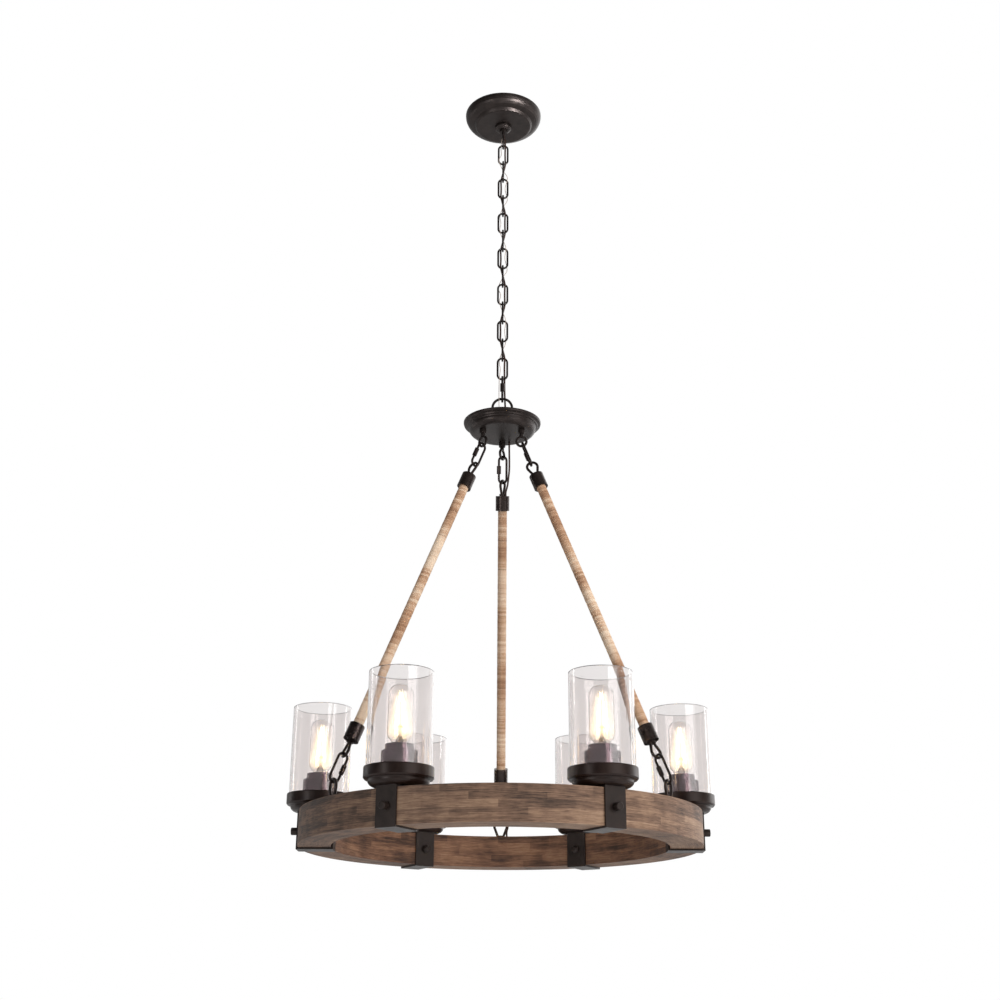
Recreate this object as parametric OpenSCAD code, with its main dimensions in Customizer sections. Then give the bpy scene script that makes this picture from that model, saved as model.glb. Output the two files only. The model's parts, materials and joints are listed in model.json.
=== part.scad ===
// Wagon wheel chandelier: a bolted wooden ring with six glass-shaded lamps,
// hung by three twine-wrapped rods from a pressed hub, a chain and a ceiling canopy.
// Millimetres. +Z is up. The origin is on the ceiling, in the middle of the canopy.
// Azimuths are measured from the front (-Y), positive towards +X.

/* [Wooden ring] */
// Outer diameter of the wood
wheel_d = 700; // [620:10:800]
// Radial width of the wood
wheel_w = 57; // [50:1:66]
// Height of the wood
wheel_h = 58; // [52:1:70]
// Gap left by the glue line between two felloes
felloe_gap = 0.3; // [0.2:0.1:0.6]
// How far inside the lamps the wiring groove runs
groove_inset = 18; // [17:0.5:20]
// Depth of the wiring groove and of the lamp pockets
groove_depth = 16; // [15:1:20]

/* [Steel straps] */
// Width of a strap along the ring
strap_w = 38; // [30:1:50]
// Thickness of the strap steel
strap_t = 3; // [2:0.5:4]
// Diameter of the through bolt
bolt_d = 8; // [6:1:10]
// Diameter of the bolt head and of the cap nut
bolt_head_d = 13; // [12:0.5:16]
// Length of the bolt head
bolt_head_h = 12; // [8:1:14]
// Length of the cap nut
cap_nut_h = 9; // [7:1:12]

/* [Lamps] */
// Radius of the circle on which the lamps stand
lamp_r = 320; // [318:1:322]
// Outer diameter of the pan under a glass
pan_d = 112; // [109:1:118]
// Height of the pan
pan_h = 31; // [28:1:36]
// Height of the pan's lower bowl, up to the shelf under the glass
bowl_h = 12; // [9:1:14]
// Sheet thickness of the pan
pan_t = 1.6; // [1.2:0.2:2]
// Outer diameter of the glass
glass_d = 105; // [100:1:106]
// Height of the glass
glass_h = 171; // [150:1:190]
// Wall thickness of the glass
glass_t = 3; // [2:0.5:4]
// Diameter of the socket body
socket_d = 46; // [44:1:50]
// Height of the socket body
socket_h = 65; // [60:1:72]
// Outer diameter of the clamping ring that holds the glass
shade_ring_d = 58; // [56:1:66]
// Height of the clamping ring
shade_ring_h = 40; // [34:1:42]
// Diameter of the bulb's glass
bulb_d = 41; // [36:1:42]
// Height of the bulb's glass above the socket
bulb_h = 97; // [85:1:105]
// Diameter of the bulb's screw cap
cap_d = 26; // [24:1:27]
// Length of the screw cap inside the socket
cap_h = 25; // [20:1:28]

/* [Hanging rods] */
// Diameter of the twine wrapping
rope_d = 18; // [16:0.5:20]
// Outer diameter of the steel tube under the twine
tube_d = 12; // [11:0.5:13]
// Bore of the steel tube
tube_bore = 9; // [8:0.5:9.5]
// Outer diameter of the end ferrules
ferrule_d = 27; // [25:0.5:30]
// Length of an end ferrule
ferrule_len = 29; // [28:1:40]
// Distance of the hub eyes from the axis
hub_eye_r = 43; // [40:1:44]
// Height from the bar of a hub eye down to the bar of a ring eye
hang_h = 658; // [560:2:760]

/* [Eyes and quick links] */
// Wire diameter of the eyes
eye_wire = 5; // [4.5:0.5:5.5]
// Mean radius of the hub eyes
hub_ring_r = 9.5; // [9.5:0.5:11]
// Mean radius of the rod eyes
eye_r = 10; // [9.5:0.5:11]
// Mean radius of the ring eyes
ring_eye_r = 12.5; // [12:0.5:14]
// Height of a ring eye's bar above the wood
ring_eye_h = 36; // [34:1:42]
// Length from a rod eye's centre to its ferrule
eye_to_ferrule = 20.5; // [19:0.5:24]
// Wire diameter of the quick links
ql_wire = 4.5; // [4:0.5:5]
// Length between the two end bars of a quick link
ql_e = 52; // [48:1:60]
// Width between the two side bars of a quick link
ql_m = 16.5; // [15.5:0.5:18]

/* [Chain] */
// Wire diameter of the chain links
link_wire = 4; // [3.5:0.5:4.5]
// Length between the two end bars of a chain link
link_e = 46.2; // [44:0.2:50]
// Width between the middles of a chain link's two sides
link_m = 19; // [18:0.1:20]

/* [Hub] */
// Outer diameter of the hub
hub_d = 150; // [144:1:160]
// Height of the hub from its cover down to its flat bottom
hub_h = 25; // [22:1:30]
// Sheet thickness of the hub
hub_t = 1.5; // [1:0.25:2]
// Wire diameter of the hub loop
hub_loop_wire = 5; // [4:0.5:6]
// Distance between the two legs of the hub loop
hub_loop_m = 38; // [34:1:44]
// Height of the hub loop above the cover
hub_loop_h = 51; // [46:1:60]
// Height of a hub eye's bar below the hub
hub_eye_drop = 34; // [30:1:40]

/* [Canopy] */
// Diameter of the canopy at the ceiling
canopy_d = 160; // [150:1:180]
// Depth of the canopy
canopy_h = 28; // [24:1:32]
// Sheet thickness of the canopy
canopy_t = 1.2; // [1:0.1:1.6]
// Diameter of the screw collar under the canopy
collar_d = 34; // [30:1:40]
// Height of the screw collar
collar_h = 9; // [8:1:12]
// Wire diameter of the canopy loop
loop_wire = 4.5; // [4:0.5:5]
// Height of the canopy loop's bar below the canopy
loop_drop = 52; // [50:1:62]
// Spacing of the two ceiling screw holes in the crossbar
crossbar_holes = 88.9; // [80:0.1:96]

/* [Leads] */
// Diameter of the brown lead
lead_d = 3.6; // [3:0.2:3.6]
// Diameter of the pale earth wire
earth_d = 1.4; // [1.2:0.2:1.6]

/* [Hidden] */
$fn = 48;
LINKS = 13;
LAMPS = 6;
RODS = 3;

// Clearances
play = 0.3;            // between two bars that hang in one another
seat = 0.2;            // under a piece that sits on another
run = 0.1;             // round a shaft or a thread
open_play = 0.5;       // extra room at the lower pivots, where the linkage is opened

// Colours
BRONZE = [0.19, 0.17, 0.16];
WOOD = [0.48, 0.36, 0.28];
TWINE = [0.76, 0.62, 0.46];
GLASS = [0.85, 0.83, 0.83, 0.35];
STEEL = [0.66, 0.66, 0.67];
BROWN = [0.20, 0.12, 0.09];

// Heights, worked out from the ceiling down
loop_bar_z = -canopy_h - loop_drop;
pitch = link_e - link_wire - play;
second_pivot_z = loop_bar_z + (loop_wire + link_wire) / 2 + play - link_e;
function pivot_z(i) = i < 2 ? loop_bar_z : second_pivot_z - (i - 2) * pitch;
hub_link_top_z = pivot_z(LINKS + 1) + (link_wire + ql_wire) / 2 + play;
hub_pivot_z = hub_link_top_z - ql_e;
hub_loop_bar_z = hub_pivot_z + (ql_wire + hub_loop_wire) / 2 + play;
hub_top_z = hub_loop_bar_z - hub_loop_h;
hub_bottom_z = hub_top_z - hub_h;
hub_eye_z = hub_bottom_z - hub_eye_drop;
ring_eye_z = hub_eye_z - hang_h;
wheel_top_z = ring_eye_z - ring_eye_h;
wheel_mid_z = wheel_top_z - wheel_h / 2;

// The wheel
wheel_ro = wheel_d / 2;
wheel_ri = wheel_ro - wheel_w;
ring_eye_ring_r = wheel_ro - wheel_w / 2 - 2.5;
groove_r = lamp_r - groove_inset;
lamp_step = 360 / LAMPS;
function lamp_azimuth(k) = -150 + lamp_step * k;
ROD_AZIMUTHS = [-60, 60, 180];

// A strap's plates stand just off the curved wood
strap_out = wheel_ro + seat;
strap_in = sqrt(wheel_ri * wheel_ri - strap_w * strap_w / 4) - seat;
strap_top_z = wheel_top_z + seat + strap_t;
strap_bottom_z = wheel_top_z - wheel_h - seat - strap_t;

// A lamp's pieces, from the strap up
pan_floor_z = strap_top_z + seat + pan_t;
shelf_z = strap_top_z + seat + bowl_h + pan_t;
stem_d = 9.5;
stem_bore = 6;
stem_nut_af = 14;
stem_nut_h = 4;
stem_len = strap_t + stem_nut_h + 4;
stem_bottom_z = wheel_top_z - stem_nut_h - 4;
pocket_r = 12;
groove_w = 6;
wire_z = wheel_top_z - groove_depth + lead_d / 2 + play;
glass_z = shelf_z + seat;
shade_ring_z = glass_z + glass_t + seat;
socket_z = pan_floor_z + seat;
socket_top_z = socket_z + socket_h;
bulb_wall = 1;

// Turn of each quick link about its rod, as the photographed one hangs
UPPER_TURNS = [-75, 28, -25];
LOWER_TURNS = [90, 68, 90];

// A rod's frame has its axis on Z and its origin where the upper quick link bears on the hub
// eye. The link slides round the eye's ring until it pulls square to it, so that point is off
// the ring's lowest one
mean_tilt = atan((ring_eye_ring_r - hub_eye_r) / hang_h);
function bear_angle(k) = atan(tan(mean_tilt) * cos(UPPER_TURNS[k]));
function bear_slide(k) = hub_ring_r * sin(bear_angle(k));
function rod_top(k) = [sin(UPPER_TURNS[k]) * bear_slide(k),
                       -hub_eye_r - cos(UPPER_TURNS[k]) * bear_slide(k),
                       hub_eye_z + hub_ring_r * (1 - cos(bear_angle(k)))];
function rod_drop(k) = [0, -ring_eye_ring_r, ring_eye_z] - rod_top(k);
function rod_tilt(k) = atan2(-rod_drop(k)[1], -rod_drop(k)[2]);
function rod_skew(k) = -asin(rod_drop(k)[0] / norm(rod_drop(k)));
rod_len = min([for (k = [0:RODS - 1]) norm(rod_drop(k))]);
hook = (ql_wire + eye_wire) / 2 + play + 0.1;
upper_eye_z = hook - ql_e + hook - eye_r;
lower_link_z = -rod_len - hook - open_play + ql_e;
lower_eye_z = lower_link_z - hook + eye_r;
ferrule_top_z = upper_eye_z - eye_to_ferrule;
ferrule_end_z = lower_eye_z + eye_to_ferrule;
cap_wall = 6;
cavity_h = 12;
cavity_r = ferrule_d / 2 - 2;
rope_inset = cap_wall + cavity_h;
eye_stem_d = 8;
EYE_LEAN = atan2(0.352, 0.936);  // lean of a pear-shaped eye's legs

// Where the second lead runs beside rod 3
wire_side = 9;
hub_hole = [-14, -40];

// Places its children on a circle round the axis, in a frame whose -Y points outwards
module at_azimuth(a, r = 0, z = 0) {
    rotate([0, 0, a]) translate([0, -r, z]) children();
}

// Turns a shape of revolution's axis to lie outwards, along -Y
module facing_out() {
    rotate([90, 0, 0]) children();
}

// Half of a round bar bent to a half circle of mean radius r, above Z = 0 in the XZ plane
module half_ring(r, wire) {
    rotate([90, 0, 0]) rotate_extrude(angle = 180) translate([r, 0]) circle(d = wire);
}

// Long link in the XZ plane: its top bar's centre is at the origin, its bottom bar's at -e
module long_link(e, m, wire) {
    straight = e - m;
    translate([0, 0, -m / 2]) half_ring(m / 2, wire);
    for (s = [-1, 1])
        translate([s * m / 2, 0, -m / 2 - straight]) cylinder(d = wire, h = straight);
    translate([0, 0, -m / 2 - straight]) mirror([0, 0, 1]) half_ring(m / 2, wire);
}

// Quick link: a long link with a gap in one side, closed by a threaded sleeve
module quick_link() {
    gap = 4;
    sleeve_r = ql_wire / 2 + 2;
    sleeve_h = 16;
    difference() {
        long_link(ql_e, ql_m, ql_wire);
        translate([ql_m / 2, 0, -ql_e / 2]) cube([3 * ql_wire, 3 * ql_wire, gap], center = true);
    }
    translate([ql_m / 2, 0, -ql_e / 2 - sleeve_h / 2]) difference() {
        cylinder(r = sleeve_r, h = sleeve_h);
        translate([0, 0, -1]) cylinder(r = ql_wire / 2 + run, h = sleeve_h + 2);
    }
}

// Round eye in the XZ plane with a stem that leaves it upwards
module eye_bolt(r, wire, stem, stem_top) {
    rotate([90, 0, 0]) rotate_extrude() translate([r, 0]) circle(d = wire);
    translate([0, 0, r]) cylinder(d = stem, h = stem_top - r);
}

// Pear-shaped eye in the XZ plane: most of a ring, whose two legs run on straight, leaning
// together, up to a foot at height foot_z
module pear_eye(r, wire, foot_z) {
    x = r * 0.936;
    z = r * 0.352;
    for (m = [0, 1]) mirror([m, 0, 0]) {
        rotate([90, 0, 0]) rotate([0, 0, -90]) rotate_extrude(angle = 90 + EYE_LEAN)
            translate([r, 0]) circle(d = wire);
        translate([x, 0, z]) rotate([0, -EYE_LEAN, 0])
            cylinder(d = wire, h = (foot_z - z) / 0.936 - 1);
    }
}

// Hexagonal nut with its bore, standing on Z = 0
module hex_nut(af, bore, h) {
    difference() {
        cylinder(r = af / sqrt(3), h = h, $fn = 6);
        translate([0, 0, -1]) cylinder(d = bore, h = h + 2);
    }
}

// A cord's solid: one tube with flat ends along a route of points
function unit(v) = v / norm(v);
function heading(p, i) = unit(p[min(i + 1, len(p) - 1)] - p[max(i - 1, 0)]);
function cord_ring(c, t, r, n) =
    let (u = unit(cross([0, 1, 0], t)), w = cross(t, u))
    [for (k = [0:n - 1]) c + r * (cos(360 * k / n) * u + sin(360 * k / n) * w)];
module cord(route, d, n = 8) {
    last = len(route) - 1;
    points = [for (i = [0:last]) each cord_ring(route[i], heading(route, i), d / 2, n)];
    sides = [for (i = [0:last - 1], k = [0:n - 1])
             let (a = i * n + k, b = i * n + (k + 1) % n)
             each [[a, a + n, b + n], [a, b + n, b]]];
    start = [for (k = [1:n - 2]) [0, k, k + 1]];
    end = [for (k = [1:n - 2]) [last * n, last * n + k + 1, last * n + k]];
    polyhedron(points, concat(start, sides, end));
}

// ---- Ceiling group ----

// Steel bar screwed to the ceiling box, with two slots' worth of screw holes and a tapped middle
bar_t = 2;
module crossbar() color(STEEL) {
    difference() {
        translate([-crossbar_holes / 2 - 8, -9, -bar_t]) cube([crossbar_holes + 16, 18, bar_t]);
        for (s = [-1, 1])
            translate([s * crossbar_holes / 2, 0, -bar_t - 1]) cylinder(d = 4.5, h = bar_t + 2);
        translate([0, 0, -bar_t - 1]) cylinder(d = stem_d + 2 * run, h = bar_t + 2);
        translate([24, 0, -bar_t - 1]) cylinder(d = 4 + 2 * run, h = bar_t + 2);
    }
}

// Green earth screw of the crossbar
module crossbar_fasteners() color([0.15, 0.45, 0.2]) {
    translate([24, 0, -0.7 - 6]) cylinder(d = 4, h = 6);
    translate([24, 0, -bar_t - seat - 2.4]) cylinder(d = 8, h = 2.4);
}

// Threaded tube between crossbar and canopy loop, with its two lock nuts
nipple_top_z = -0.6;
nipple_bottom_z = 2 - canopy_h;
module nipple_and_nuts() color([0.75, 0.62, 0.3]) {
    difference() {
        translate([0, 0, nipple_bottom_z]) cylinder(d = stem_d, h = nipple_top_z - nipple_bottom_z);
        translate([0, 0, nipple_bottom_z - 1]) cylinder(d = 6.6, h = canopy_h);
    }
    translate([0, 0, -bar_t - seat - 3]) hex_nut(14, stem_d + 2 * run, 3);
    translate([0, 0, loop_neck_top_z + seat]) hex_nut(14, stem_d + 2 * run, 2.5);
}

// Pressed steel canopy: rim on the ceiling, curved side, one raised step and a flat bottom
canopy_r = canopy_d / 2;
function canopy_line(o) = concat(
    [[canopy_r - o, 0], [canopy_r - o, -2]],
    [for (a = [0:15:75]) [canopy_r - 18 + (18 - o) * cos(a), -2 - (canopy_h - 9 - o) * sin(a)]],
    [[canopy_r - 19 - o / 2, -canopy_h + 6 + o], [canopy_r - 20.5 - o / 2, -canopy_h + 3.5 + o],
     [canopy_r - 22.5 - o / 2, -canopy_h + 0.8 + o], [canopy_r - 25 - o / 2, -canopy_h + o]]);
neck_d = 16;
loop_neck_top_z = 9 - canopy_h;
module canopy() color(BRONZE) {
    outer = canopy_line(0);
    inner = canopy_line(canopy_t);
    difference() {
        rotate_extrude() polygon(concat(outer, [[0, -canopy_h], [0, -canopy_h + canopy_t]],
                                        [for (i = [len(inner) - 1:-1:0]) inner[i]]));
        translate([0, 0, -canopy_h - 1]) cylinder(d = neck_d + 1, h = canopy_t + 2);
    }
}

// Threaded neck with the round bar that the chain hangs from, in the YZ plane
module canopy_loop() color(BRONZE) {
    loop_m = 18;
    neck_bottom_z = -canopy_h - collar_h - 5;
    bar_top_z = neck_bottom_z + 1;
    difference() {
        union() {
            translate([0, 0, neck_bottom_z]) cylinder(d = neck_d, h = loop_neck_top_z - neck_bottom_z);
            translate([0, 0, bar_top_z]) rotate([0, 0, 90])
                long_link(bar_top_z - loop_bar_z, loop_m, loop_wire);
        }
        translate([0, 0, nipple_bottom_z - seat]) cylinder(d = stem_d + 2 * run, h = canopy_h);
        translate([0, 0, neck_bottom_z - 4]) cylinder(d = 6.6, h = canopy_h);
    }
}

// Knurled collar that screws up the neck and holds the canopy to the ceiling
module loop_collar() color(BRONZE) {
    r = collar_d / 2;
    bore = neck_d / 2 + run;
    translate([0, 0, -canopy_h - seat]) rotate_extrude()
        polygon([[bore, 0], [r - 1, 0], [r, -1], [r, -collar_h * 0.5],
                 [r - 3, -collar_h * 0.8], [r - 6, -collar_h], [bore, -collar_h]]);
}

// ---- Chain ----

// Link i hangs from link i - 1. Odd links lie in the XZ plane, even ones in the YZ plane
module chain_link(i) color(BRONZE) {
    above = i == 1 ? loop_wire : link_wire;
    translate([0, 0, pivot_z(i) + (above + link_wire) / 2 + play])
        rotate([0, 0, i % 2 == 1 ? 0 : 90]) long_link(link_e, link_m, link_wire);
}

// Quick link between the chain and the hub
module hub_link() color(BRONZE) {
    translate([0, 0, hub_link_top_z]) rotate([0, 0, -90]) quick_link();
}

// ---- Hub ----

// Bent bar that the hub hangs by, its legs through the cover and held by nuts under it
leg_below = 9;
module hub_loop() color(BRONZE) {
    r = hub_loop_m / 2;
    translate([0, 0, hub_loop_bar_z - r]) half_ring(r, hub_loop_wire);
    for (s = [-1, 1]) {
        translate([s * r, 0, hub_top_z - leg_below])
            cylinder(d = hub_loop_wire, h = hub_loop_bar_z - r - hub_top_z + leg_below);
        translate([s * r, 0, hub_top_z - hub_t - seat - 4]) hex_nut(9, hub_loop_wire + 2 * run, 4);
    }
}

// Flat disc that closes the hub's top
lead_hole = [7, 10];
module hub_cover() color(BRONZE) {
    difference() {
        translate([0, 0, hub_top_z - hub_t]) cylinder(r = hub_d / 2 - 4, h = hub_t);
        for (s = [-1, 1])
            translate([s * hub_loop_m / 2, 0, hub_top_z - hub_t - 1])
                cylinder(d = hub_loop_wire + 2 * run, h = hub_t + 2);
        translate([lead_hole[0], lead_hole[1], hub_top_z - hub_t - 1])
            cylinder(d = lead_d + 3, h = hub_t + 2);
    }
}

// Pressed bowl of the hub: rolled rim, two ridges and a flat bottom
hub_r = hub_d / 2;
hub_flat_r = 53;
function hub_line(o) = concat(
    [[hub_r - o, -3], [hub_r - 0.8 - o, -5.5 + o * 0.6], [hub_r - 3 - o, -6.2 + o],
     [hub_r - 5.5 - o, -7 + o], [hub_r - 6.5 - o, -9.5 + o], [hub_r - 9 - o, -10.2 + o],
     [hub_r - 10 - o, -12.5 + o]],
    [for (a = [15:15:90]) [hub_flat_r + (hub_r - 10 - hub_flat_r) * cos(a) - o * cos(a),
                           -12.5 - (hub_h - 12.5) * sin(a) + o]]);
module hub_bowl() color(BRONZE) {
    outer = hub_line(0);
    inner = hub_line(hub_t);
    difference() {
        translate([0, 0, hub_top_z]) rotate_extrude()
            polygon(concat([[hub_r - hub_t, 0], [hub_r, -0.8]], outer,
                           [[0, -hub_h], [0, -hub_h + hub_t]],
                           [for (i = [len(inner) - 1:-1:0]) inner[i]],
                           [[hub_r - 3.8, -3], [hub_r - 3.8, 0]]));
        for (a = ROD_AZIMUTHS)
            at_azimuth(a, hub_eye_r, hub_bottom_z - 1) cylinder(d = eye_stem_d + 2 * run, h = hub_t + 2);
        at_azimuth(ROD_AZIMUTHS[2]) translate([hub_hole[0], hub_hole[1], hub_bottom_z - 1])
            cylinder(d = lead_d + 1.4, h = hub_t + 2);
    }
}

// Three eye bolts under the hub, each with a shoulder below and a nut inside
module hub_eyes() color(BRONZE) {
    stem_top = 9;
    shoulder_h = 8;
    for (k = [0:RODS - 1])
        at_azimuth(ROD_AZIMUTHS[k], hub_eye_r, hub_eye_z + hub_ring_r) {
            rise = hub_bottom_z - hub_eye_z - hub_ring_r;
            rotate([0, 0, UPPER_TURNS[k] + 90])
                eye_bolt(hub_ring_r, eye_wire, eye_stem_d, rise + stem_top);
            translate([0, 0, rise - seat - shoulder_h]) difference() {
                cylinder(d = 13, h = shoulder_h);
                translate([0, 0, -1]) cylinder(d = eye_stem_d + 2 * run, h = shoulder_h + 2);
            }
            translate([0, 0, rise + hub_t + seat]) hex_nut(13, eye_stem_d + 2 * run, 5);
        }
}

// ---- Hanging rods ----

// Frame of rod k: the rod's axis is Z, with the hub eye's bar at the origin
module rod_frame(k) {
    at_azimuth(ROD_AZIMUTHS[k]) translate(rod_top(k))
        rotate([-rod_tilt(k), 0, 0]) rotate([0, rod_skew(k), 0]) children();
}

// Ferrule: a cup with a thick end, its mouth downwards and its end face at Z = 0
module ferrule(wired) {
    difference() {
        translate([0, 0, -ferrule_len]) cylinder(d = ferrule_d, h = ferrule_len);
        translate([0, 0, -cap_wall - cavity_h]) cylinder(r = cavity_r, h = cavity_h);
        translate([0, 0, -ferrule_len - 1])
            cylinder(r = rope_d / 2 + play, h = ferrule_len - cap_wall - cavity_h + 2);
        translate([0, 0, -cap_wall - 1]) cylinder(d = eye_stem_d + 2 * run, h = cap_wall + 2);
        if (wired)
            rotate([0, 0, 135]) translate([wire_side, 0, -cap_wall - 1])
                cylinder(d = lead_d + 0.4, h = cap_wall + 2);
    }
}

// One end fitting: the ferrule below Z = 0, and above it an eye whose shank is screwed into it
module end_fitting(turn, wired) {
    neck_r = 6.5;
    ferrule(wired);
    translate([0, 0, eye_to_ferrule]) rotate([0, 0, turn + 90]) rotate([180, 0, 0])
        pear_eye(eye_r, eye_wire, eye_to_ferrule - 2);
    translate([0, 0, seat]) cylinder(r = neck_r, h = 4);
    translate([0, 0, -cap_wall]) cylinder(d = eye_stem_d, h = cap_wall + 2);
}

// Steel tube with its two end fittings. Rod 3 carries the lead, so its fittings have a second hole
module rod(k) color(BRONZE) rod_frame(k) {
    wired = k == 2;
    translate([0, 0, ferrule_top_z]) end_fitting(UPPER_TURNS[k], wired);
    translate([0, 0, ferrule_end_z]) rotate([180, 0, 0])
        end_fitting(-LOWER_TURNS[k], wired);
    translate([0, 0, ferrule_end_z + rope_inset + seat]) difference() {
        tube_len = ferrule_top_z - ferrule_end_z - 2 * rope_inset - 2 * seat;
        cylinder(d = tube_d, h = tube_len);
        translate([0, 0, -1]) cylinder(d = tube_bore, h = tube_len + 2);
    }
}

// Sleeve of tightly wound twine over the tube
module rope_wrap(k) color(TWINE) rod_frame(k)
    translate([0, 0, ferrule_end_z + rope_inset + seat]) difference() {
        wrap_len = ferrule_top_z - ferrule_end_z - 2 * rope_inset - 2 * seat;
        cylinder(d = rope_d, h = wrap_len);
        translate([0, 0, -1]) cylinder(d = tube_d + 2 * run, h = wrap_len + 2);
    }

// Upper and lower quick link of one rod
module rod_links(k) color(BRONZE) rod_frame(k) {
    translate([0, 0, hook]) rotate([0, 0, UPPER_TURNS[k]]) quick_link();
    translate([0, 0, lower_link_z]) rotate([0, 0, LOWER_TURNS[k]]) quick_link();
}

// ---- Wheel ----

// Six curved wooden felloes, butted under the straps
module wheel_felloes() color(WOOD) {
    gap_deg = felloe_gap / wheel_ri * 180 / PI;
    difference() {
        for (k = [0:LAMPS - 1])
            rotate([0, 0, lamp_azimuth(k) - 90 + gap_deg / 2])
                translate([0, 0, wheel_top_z - wheel_h])
                    rotate_extrude(angle = lamp_step - gap_deg, $fn = 96)
                        translate([wheel_ri, 0]) square([wheel_w, wheel_h]);
        translate([0, 0, wheel_top_z - groove_depth]) rotate_extrude($fn = 96)
            translate([groove_r - groove_w / 2, 0]) square([groove_w, groove_depth + 1]);
        for (k = [0:LAMPS - 1]) {
            at_azimuth(lamp_azimuth(k), lamp_r, wheel_top_z - groove_depth)
                cylinder(r = pocket_r, h = groove_depth + 1);
            at_azimuth(lamp_azimuth(k), lamp_r, wheel_top_z - groove_depth)
                translate([-groove_w / 2, 0, 0]) cube([groove_w, lamp_r - groove_r, groove_depth + 1]);
            at_azimuth(lamp_azimuth(k), wheel_ri - 5, wheel_mid_z)
                facing_out() cylinder(d = bolt_d + 0.6, h = wheel_w + 10);
        }
        for (a = ROD_AZIMUTHS)
            at_azimuth(a, ring_eye_ring_r, wheel_top_z - 36) cylinder(d = 7 + 2 * run, h = 37);
    }
}

// Flat steel straps, each a closed box round the wood
module straps() color(BRONZE) {
    for (k = [0:LAMPS - 1])
        at_azimuth(lamp_azimuth(k)) difference() {
            translate([-strap_w / 2, -strap_out - strap_t, strap_bottom_z])
                cube([strap_w, strap_out - strap_in + 2 * strap_t, strap_top_z - strap_bottom_z]);
            translate([-strap_w / 2 - 1, -strap_out, strap_bottom_z + strap_t])
                cube([strap_w + 2, strap_out - strap_in,
                      strap_top_z - strap_bottom_z - 2 * strap_t]);
            translate([0, -strap_in + 2 * strap_t, wheel_mid_z])
                facing_out() cylinder(d = bolt_d + 2 * run, h = wheel_w + 20);
            translate([0, -lamp_r, strap_top_z - strap_t - 1])
                cylinder(d = stem_d + 2 * run, h = strap_t + 2);
        }
}

// Through bolts of the straps, with round heads outside
module strap_bolts() color(BRONZE) {
    for (k = [0:LAMPS - 1])
        at_azimuth(lamp_azimuth(k), strap_in - strap_t - cap_nut_h + 2.5, wheel_mid_z) facing_out() {
            reach = strap_out + strap_t - strap_in + strap_t + cap_nut_h - 2.5 + seat;
            cylinder(d = bolt_d, h = reach + 1);
            translate([0, 0, reach]) cylinder(d = bolt_head_d, h = bolt_head_h - 1);
            translate([0, 0, reach + bolt_head_h - 1])
                cylinder(d1 = bolt_head_d, d2 = bolt_head_d - 2, h = 1);
        }
}

// Domed cap nuts on the bolts' inner ends
module cap_nuts() color(BRONZE) {
    for (k = [0:LAMPS - 1])
        at_azimuth(lamp_azimuth(k), strap_in - strap_t - seat, wheel_mid_z)
            rotate([-90, 0, 0]) difference() {
                rotate_extrude() polygon([[0, 0], [bolt_head_d / 2, 0], [bolt_head_d / 2, cap_nut_h * 0.6],
                                          [bolt_head_d / 2 - 2, cap_nut_h * 0.88],
                                          [bolt_head_d / 4, cap_nut_h], [0, cap_nut_h]]);
                translate([0, 0, -1]) cylinder(d = bolt_d + 2 * run, h = cap_nut_h - 1);
            }
}

// Three screw eyes in the top of the wood, each with a collar at its foot
module ring_eyes() color(BRONZE) {
    foot_z = ring_eye_h - ring_eye_r - 1;
    for (k = [0:RODS - 1])
        at_azimuth(ROD_AZIMUTHS[k], ring_eye_ring_r, ring_eye_z - ring_eye_r) rotate([180, 0, 0]) {
            pear_eye(ring_eye_r, eye_wire, foot_z);
            translate([0, 0, foot_z - 3]) cylinder(r = 8.6, h = 4 - seat);
            translate([0, 0, foot_z - 0.5]) cylinder(d = 7, h = 34);
        }
}

// Spun steel pans: a flat-bottomed bowl, a shelf for the glass and an upright rim
function pan_line(o) = concat(
    [[pan_d / 2 - o, pan_h - 1.5], [pan_d / 2 - o, bowl_h + 2.5 + o], [pan_d / 2 - 2 - o, bowl_h + o],
     [pan_d / 2 - 6 - o, bowl_h - 0.5 + o]],
    [for (a = [0:18:90]) [36 + (pan_d / 2 - 7 - 36 - o) * cos(a), 10 + (10 - o) * -sin(a)]]);
module pan() {
    outer = pan_line(0);
    inner = pan_line(pan_t);
    difference() {
        rotate_extrude() polygon(concat([[pan_d / 2 - pan_t, pan_h], [pan_d / 2 - 0.4, pan_h]], outer,
                                        [[0, 0], [0, pan_t]],
                                        [for (i = [len(inner) - 1:-1:0]) inner[i]]));
        translate([0, 0, -1]) cylinder(d = stem_d + 2 * run, h = pan_t + 2);
    }
}
module pans() color(BRONZE) {
    for (k = [0:LAMPS - 1]) at_azimuth(lamp_azimuth(k), lamp_r, strap_top_z + seat) pan();
}

// Sockets: a body with the screw-in well, on a hollow threaded stem with its nut under the strap
module sockets() color(BRONZE) {
    well = cap_h + 2;
    for (k = [0:LAMPS - 1]) at_azimuth(lamp_azimuth(k), lamp_r) {
        difference() {
            translate([0, 0, socket_z]) cylinder(d = socket_d, h = socket_h);
            translate([0, 0, socket_top_z - well]) cylinder(d = cap_d + 2 * play, h = well + 1);
            translate([0, 0, socket_top_z - 3]) cylinder(d1 = cap_d + 1, d2 = socket_d - 4, h = 3.01);
            translate([0, 0, socket_z - 1]) cylinder(d = stem_d + 2 * run, h = 11);
        }
        difference() {
            translate([0, 0, stem_bottom_z]) cylinder(d = stem_d, h = socket_z + 9 - stem_bottom_z);
            translate([0, 0, stem_bottom_z - 1]) cylinder(d = stem_bore, h = 60);
        }
        translate([0, 0, wheel_top_z - stem_nut_h])
            hex_nut(stem_nut_af, stem_d + 2 * run, stem_nut_h);
    }
}

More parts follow.
